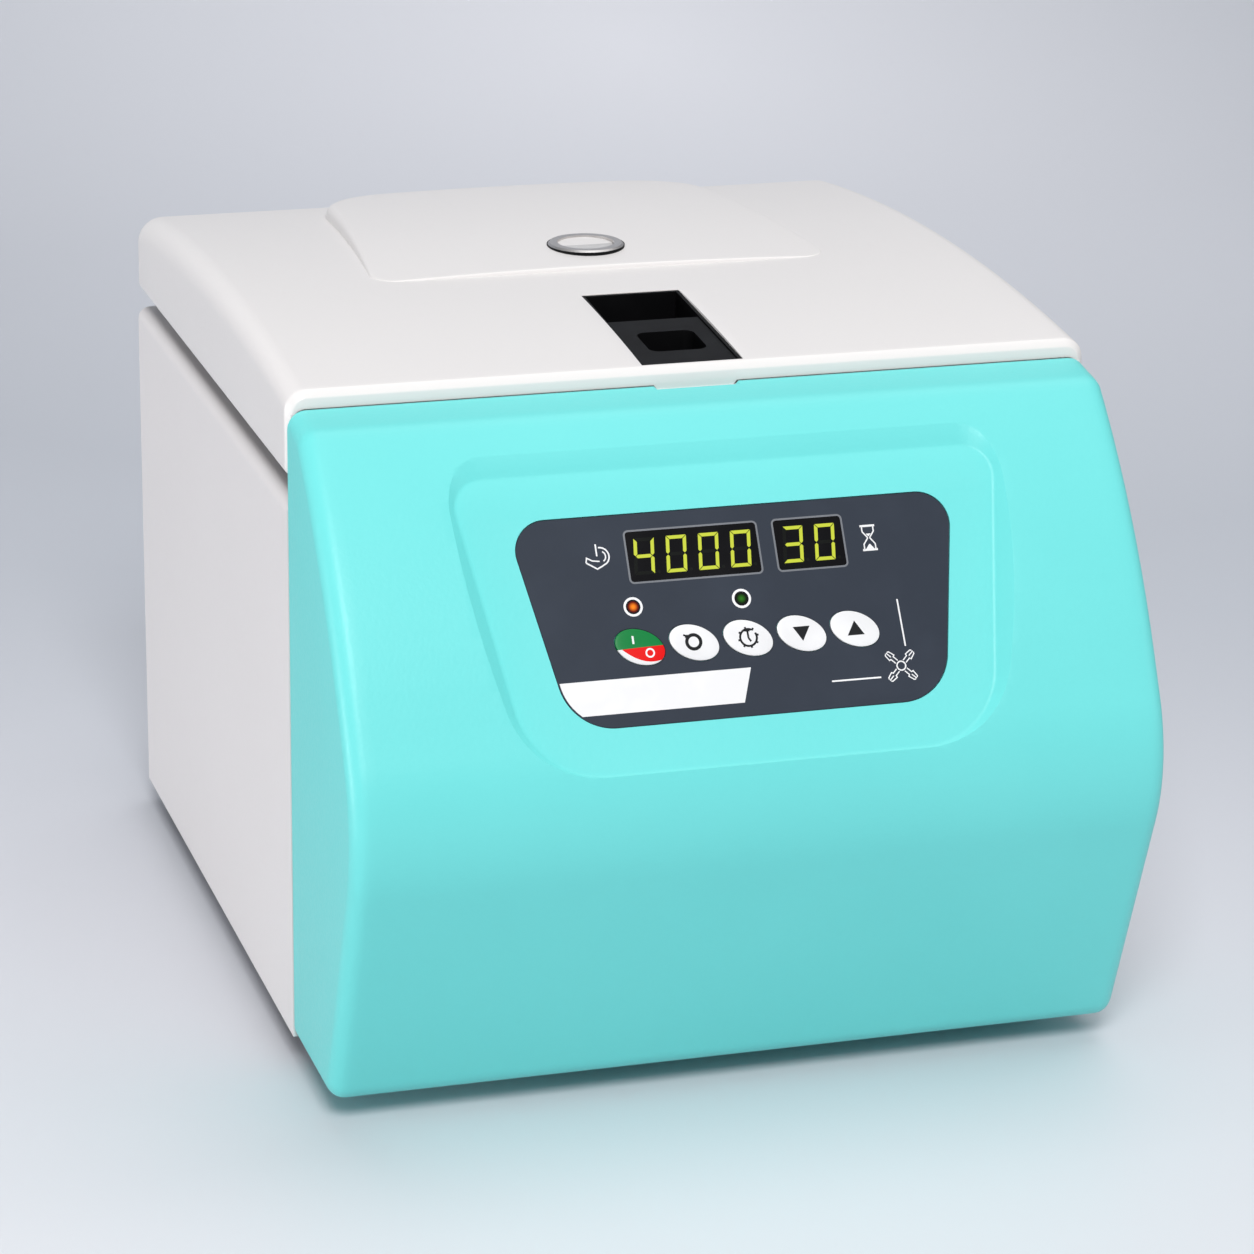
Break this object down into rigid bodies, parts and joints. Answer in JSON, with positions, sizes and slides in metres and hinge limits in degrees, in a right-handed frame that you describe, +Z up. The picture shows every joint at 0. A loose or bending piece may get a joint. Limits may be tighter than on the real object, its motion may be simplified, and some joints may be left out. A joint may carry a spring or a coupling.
{
  "type": "cytocentrifuge",
  "caption": "Bench cytocentrifuge with a hinged lid, bulged front cover, sunk keypad, swing-out slide carriers on a cross-shaped rotor, sight glass and sliding lid latch.",
  "frame": {"origin": "on the bench under the middle of the machine's overall box", "axes": "+X to the operator's right, +Y to the rear, +Z up"},
  "size_m": [0.315, 0.4, 0.2808],
  "materials": {
    "cabinet_paint": "fine powder coat, cool off-white",
    "deck_paint": "smooth paint, off-white",
    "cover_moulding": "turquoise moulded skin with a fine leather grain",
    "lid_moulding": "satin warm white",
    "liner_plastic": "matt white",
    "bezel_metal": "satin anodised",
    "key_white": "satin",
    "panel_film": "slate overlay film",
    "display_glass": "black display window",
    "lamp_lens": "tinted lamp",
    "key_green": "satin",
    "black_plastic": "fine matt",
    "black_rubber": "matt",
    "grey_rubber": "matt",
    "clear_pane": "clear",
    "slide_glass": "clear",
    "bright_steel": "brushed",
    "plain_steel": "zinc plated",
    "bowl_steel": "spun",
    "rotor_aluminium": "clear anodised",
    "carrier_steel": "satin",
    "chamber_plastic": "translucent white",
    "clip_steel": "bright spring steel",
    "board_green": "solder mask",
    "motor_paint": "black paint"
  },
  "bodies": {
    "root": {"base_pan": "deck_paint", "cabinet_wrap": "cabinet_paint", "feet": "black_rubber", "front_bulkhead": "cabinet_paint", "top_deck": "deck_paint", "front_cover": "cover_moulding", "keypad_panel": "panel_film", "indicator_leds": "lamp_lens", "control_board": "board_green", "speed_display": "display_glass", "time_display": "display_glass", "lock_body": "black_plastic", "hinge_brackets": "plain_steel", "hinge_pins": "bright_steel", "chamber_bowl": "bowl_steel", "rubber_mounts": "grey_rubber", "motor_plate": "plain_steel", "motor_body": "motor_paint", "shaft_boot": "black_rubber", "power_supply": "board_green", "power_inlet": "black_plastic", "switch_frame": "black_plastic"},
    "lid": {"lid_shell": "lid_moulding", "lid_liner": "liner_plastic", "lid_gasket": "black_rubber", "sight_glass_bezel": "bezel_metal", "sight_glass": "clear_pane", "latch_housing": "black_plastic", "lid_striker": "plain_steel", "hinge_arms": "plain_steel"},
    "latch": {"latch_paddle": "black_plastic", "latch_hook": "plain_steel"},
    "rotor": {"motor_shaft": "bright_steel", "rotor_head": "rotor_aluminium", "trunnion_pins": "bright_steel", "rotor_nut": "black_plastic"},
    "lock_bolt": {"lock_bolt": "bright_steel"},
    "power_rocker": {"switch_rocker": "black_plastic"},
    "fuse_drawer": {"fuse_drawer": "black_plastic"},
    "start_stop_key": {"start_stop_key": "key_green"},
    "speed_key": {"speed_key": "key_white"},
    "time_key": {"time_key": "key_white"},
    "down_key": {"down_key": "key_white"},
    "up_key": {"up_key": "key_white"},
    "carrier_1": {"carrier_frame_1": "carrier_steel", "glass_slide_1": "slide_glass", "sample_chamber_1": "chamber_plastic", "chamber_clip_1": "clip_steel"},
    "carrier_2": {"carrier_frame_2": "carrier_steel", "glass_slide_2": "slide_glass", "sample_chamber_2": "chamber_plastic", "chamber_clip_2": "clip_steel"},
    "carrier_3": {"carrier_frame_3": "carrier_steel", "glass_slide_3": "slide_glass", "sample_chamber_3": "chamber_plastic", "chamber_clip_3": "clip_steel"},
    "carrier_4": {"carrier_frame_4": "carrier_steel", "glass_slide_4": "slide_glass", "sample_chamber_4": "chamber_plastic", "chamber_clip_4": "clip_steel"}
  },
  "joints": [
    {"name": "lid_hinge", "type": "hinge", "parent": "root", "child": "lid", "pos_m": [0, 0.19, 0.24], "axis": [-1, 0, 0], "range_deg": [0, 80]},
    {"name": "latch_slide", "type": "slide", "parent": "lid", "child": "latch", "axis": [0, 0.997, 0.0775], "range_m": [0, 0.006], "stiffness_N_per_m": 300, "springref_m": -0.004},
    {"name": "rotor_spin", "type": "hinge", "parent": "root", "child": "rotor", "pos_m": [0, 0.049, 0.18], "axis": [0, 0, 1], "continuous": true},
    {"name": "lock_bolt_slide", "type": "slide", "parent": "root", "child": "lock_bolt", "axis": [0, 1, 0], "range_m": [0, 0.009], "stiffness_N_per_m": 150, "springref_m": -0.003},
    {"name": "power_switch", "type": "hinge", "parent": "root", "child": "power_rocker", "pos_m": [0.04, 0.1924, 0.058], "axis": [-1, 0, 0], "range_deg": [0, 18]},
    {"name": "fuse_drawer_slide", "type": "slide", "parent": "root", "child": "fuse_drawer", "axis": [0, 1, 0], "range_m": [0, 0.014]},
    {"name": "start_stop_press", "type": "slide", "parent": "root", "child": "start_stop_key", "axis": [0, 0.848, -0.5299], "range_m": [0, 0.0005], "stiffness_N_per_m": 800},
    {"name": "speed_press", "type": "slide", "parent": "root", "child": "speed_key", "axis": [0, 0.848, -0.5299], "range_m": [0, 0.0005], "stiffness_N_per_m": 800},
    {"name": "time_press", "type": "slide", "parent": "root", "child": "time_key", "axis": [0, 0.848, -0.5299], "range_m": [0, 0.0005], "stiffness_N_per_m": 800},
    {"name": "down_press", "type": "slide", "parent": "root", "child": "down_key", "axis": [0, 0.848, -0.5299], "range_m": [0, 0.0005], "stiffness_N_per_m": 800},
    {"name": "up_press", "type": "slide", "parent": "root", "child": "up_key", "axis": [0, 0.848, -0.5299], "range_m": [0, 0.0005], "stiffness_N_per_m": 800},
    {"name": "carrier_swing_1", "type": "hinge", "parent": "rotor", "child": "carrier_1", "pos_m": [0.066, 0.049, 0.18], "axis": [0, -1, 0], "range_deg": [0, 90]},
    {"name": "carrier_swing_2", "type": "hinge", "parent": "rotor", "child": "carrier_2", "pos_m": [0, 0.115, 0.18], "axis": [1, 0, 0], "range_deg": [0, 90]},
    {"name": "carrier_swing_3", "type": "hinge", "parent": "rotor", "child": "carrier_3", "pos_m": [-0.066, 0.049, 0.18], "axis": [0, 1, 0], "range_deg": [0, 90]},
    {"name": "carrier_swing_4", "type": "hinge", "parent": "rotor", "child": "carrier_4", "pos_m": [0, -0.017, 0.18], "axis": [-1, 0, 0], "range_deg": [0, 90]}
  ]
}
